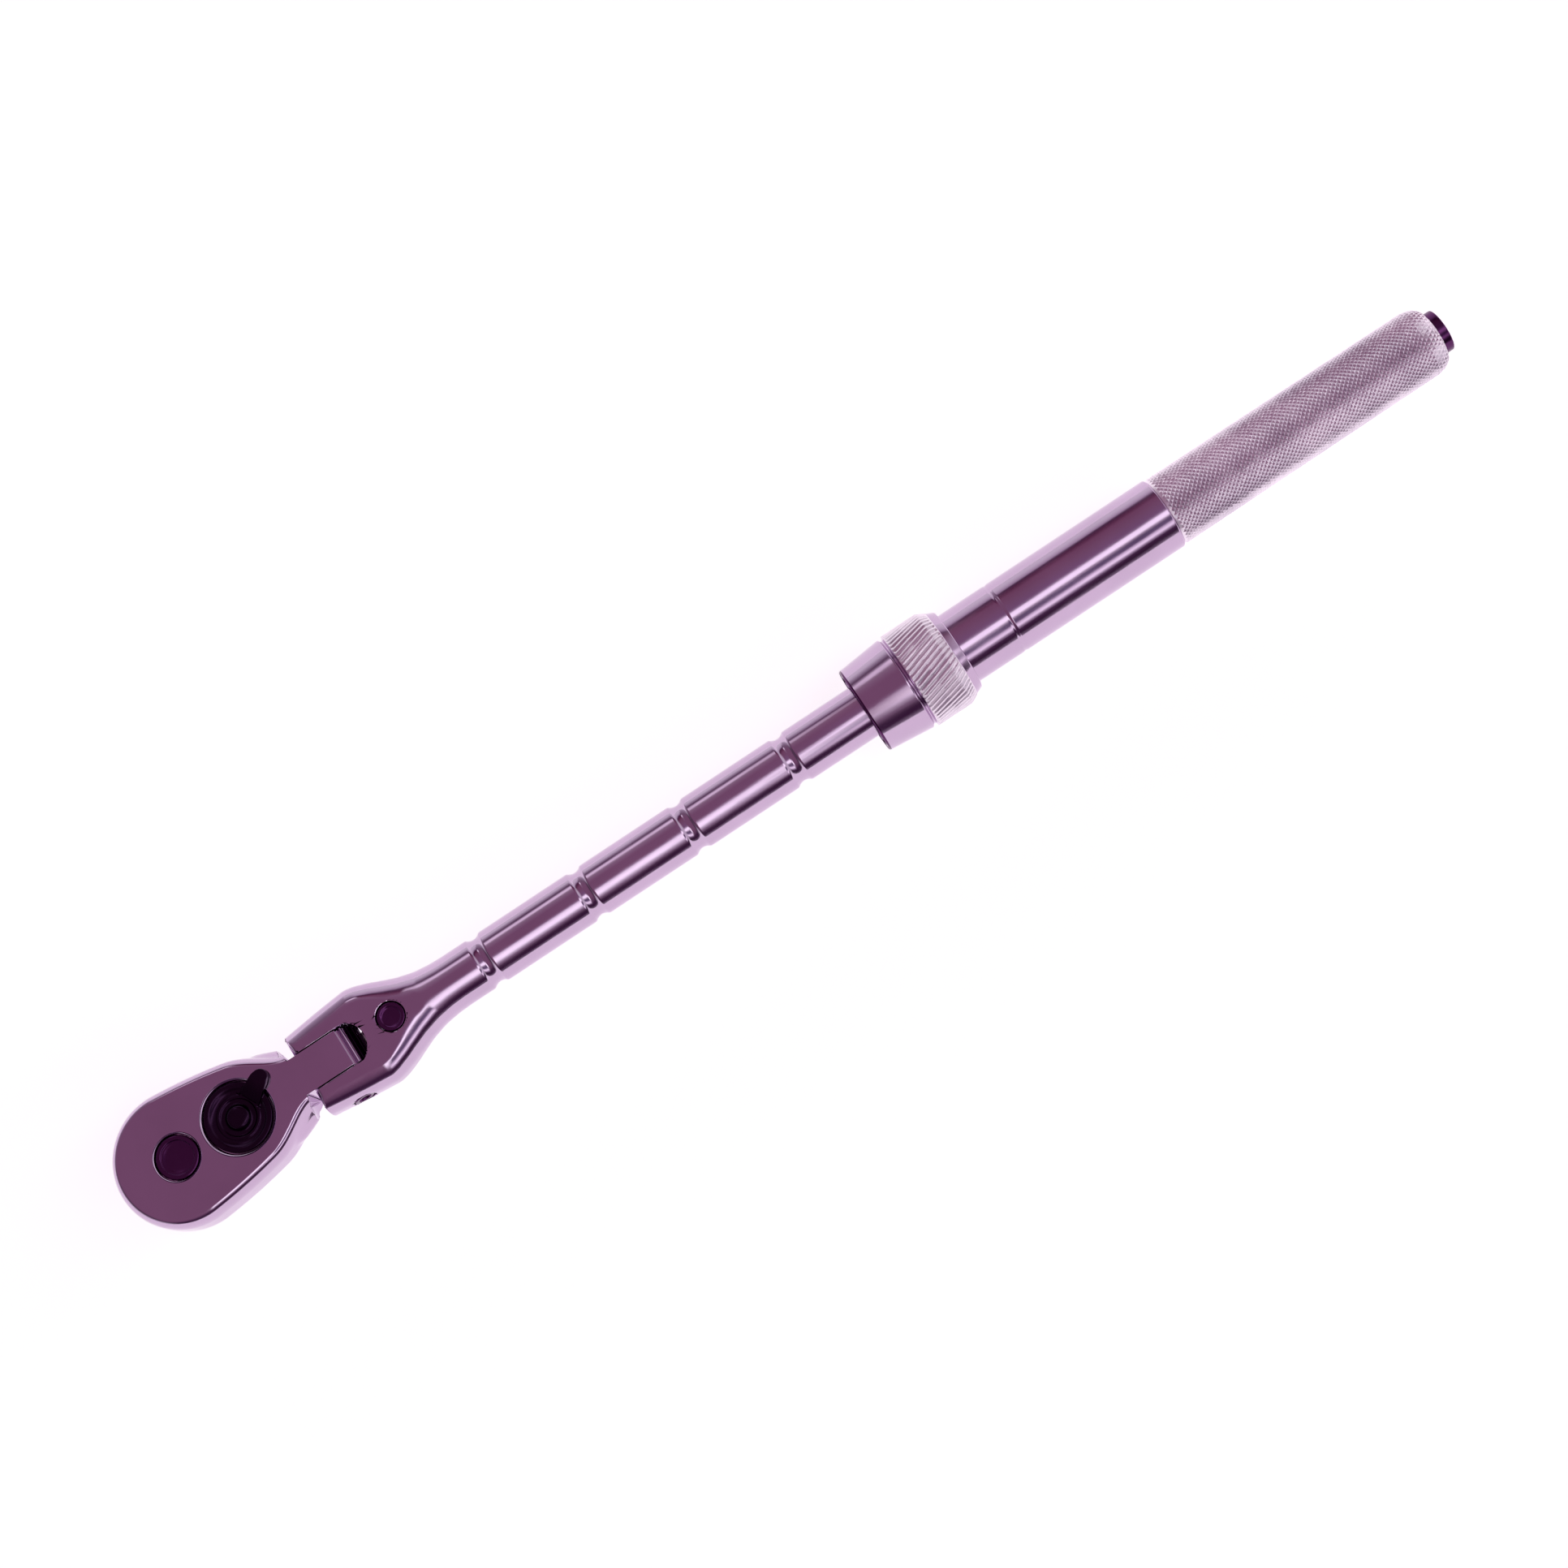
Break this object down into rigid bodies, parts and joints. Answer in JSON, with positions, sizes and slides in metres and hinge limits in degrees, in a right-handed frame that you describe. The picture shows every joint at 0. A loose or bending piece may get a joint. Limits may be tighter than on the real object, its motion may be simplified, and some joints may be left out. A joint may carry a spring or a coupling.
{
  "type": "ratchet wrench",
  "caption": "Telescopic ratchet wrench with a locking flex head, quick-release square drive, reversing lever, locking collar and knurled grip.",
  "frame": {"origin": "middle of the square drive's end face", "axes": "+X along the handle towards the grip, +Z from the drive's end face up to the lever side of the head"},
  "size_m": [0.446, 0.04, 0.0389],
  "materials": {
    "chrome": "polished chrome plate with a purple cast",
    "dark_chrome": "dark polished steel",
    "black_oxide": "gloss black",
    "gear_steel": "ground hardened steel",
    "spring_steel": "oiled spring steel"
  },
  "bodies": {
    "handle": {"nose_sleeve": "gear_steel", "collar_stop_ring": "spring_steel", "collar_spring": "spring_steel", "handle_tube": "chrome", "end_cap": "dark_chrome"},
    "collar": {"lock_collar": "chrome"},
    "ball_1": {"lock_ball_1": "gear_steel"},
    "ball_2": {"lock_ball_2": "gear_steel"},
    "ball_3": {"lock_ball_3": "gear_steel"},
    "rod": {"shank": "chrome", "hinge_pin": "dark_chrome", "lock_spring": "spring_steel", "rod_stop_ring": "spring_steel"},
    "flex_button": {"lock_button": "dark_chrome"},
    "flex_bolt": {"lock_bolt": "gear_steel"},
    "head": {"head_body": "chrome", "cover_ring": "gear_steel", "cover_snap_ring": "spring_steel"},
    "drive": {"drive_gear": "chrome", "release_spring": "spring_steel"},
    "quick_release": {"release_button": "dark_chrome"},
    "detent_ball": {"socket_ball": "gear_steel"},
    "lever": {"reverse_lever": "black_oxide", "lever_clip": "spring_steel", "pawl_spring": "spring_steel", "pawl_plunger": "gear_steel"},
    "rocker": {"pawl": "gear_steel"}
  },
  "joints": [
    {"name": "handle_extension", "type": "slide", "parent": "handle", "child": "rod", "axis": [1, 0, 0], "range_m": [0, 0.1372]},
    {"name": "collar_slide", "type": "slide", "parent": "handle", "child": "collar", "axis": [1, 0, 0], "range_m": [-0.003, 0], "stiffness_N_per_m": 1500, "springref_m": -0.006, "deforming": ["collar_spring"]},
    {"name": "ball_1_slide", "type": "slide", "parent": "handle", "child": "ball_1", "axis": [0, 0, 1], "range_m": [-0.00086, 0]},
    {"name": "ball_2_slide", "type": "slide", "parent": "handle", "child": "ball_2", "axis": [0, -0.866, -0.5], "range_m": [-0.00086, 0]},
    {"name": "ball_3_slide", "type": "slide", "parent": "handle", "child": "ball_3", "axis": [0, 0.866, -0.5], "range_m": [-0.00086, 0]},
    {"name": "head_flex", "type": "hinge", "parent": "rod", "child": "head", "pos_m": [0.0526, 0, 0.0239], "axis": [0, 1, 0], "range_deg": [-60.01, 60.01]},
    {"name": "flex_button_press", "type": "slide", "parent": "rod", "child": "flex_button", "axis": [0, 0, 1], "range_m": [-0.0015, 0], "stiffness_N_per_m": 800, "springref_m": 0.003},
    {"name": "flex_bolt_slide", "type": "slide", "parent": "rod", "child": "flex_bolt", "axis": [1, 0, 0], "range_m": [0, 0.0012], "deforming": ["lock_spring"]},
    {"name": "drive_spin", "type": "hinge", "parent": "head", "child": "drive", "pos_m": [0, 0, 0.0239], "axis": [0, 0, 1], "continuous": true},
    {"name": "release_press", "type": "slide", "parent": "drive", "child": "quick_release", "axis": [0, 0, 1], "range_m": [-0.002, 0], "stiffness_N_per_m": 600, "springref_m": 0.004, "deforming": ["release_spring"]},
    {"name": "detent_ball_slide", "type": "slide", "parent": "drive", "child": "detent_ball", "axis": [0, 1, 0], "range_m": [0, 0.0008]},
    {"name": "lever_turn", "type": "hinge", "parent": "head", "child": "lever", "pos_m": [0.0204, 0, 0.0239], "axis": [0, 0, 1], "range_deg": [-54, 0]},
    {"name": "pawl_rock", "type": "hinge", "parent": "head", "child": "rocker", "pos_m": [0.0204, 0, 0.0239], "axis": [0, 0, 1], "range_deg": [-12, 0]}
  ],
  "couplings": [
    {"joint": "ball_1_slide", "follows": "collar_slide", "ratio": 0.28333},
    {"joint": "ball_2_slide", "follows": "collar_slide", "ratio": 0.28333},
    {"joint": "ball_3_slide", "follows": "collar_slide", "ratio": 0.28333},
    {"joint": "flex_bolt_slide", "follows": "flex_button_press", "ratio": -0.8},
    {"joint": "detent_ball_slide", "follows": "release_press", "ratio": -0.4},
    {"joint": "pawl_rock", "follows": "lever_turn", "ratio": 0.22222}
  ]
}
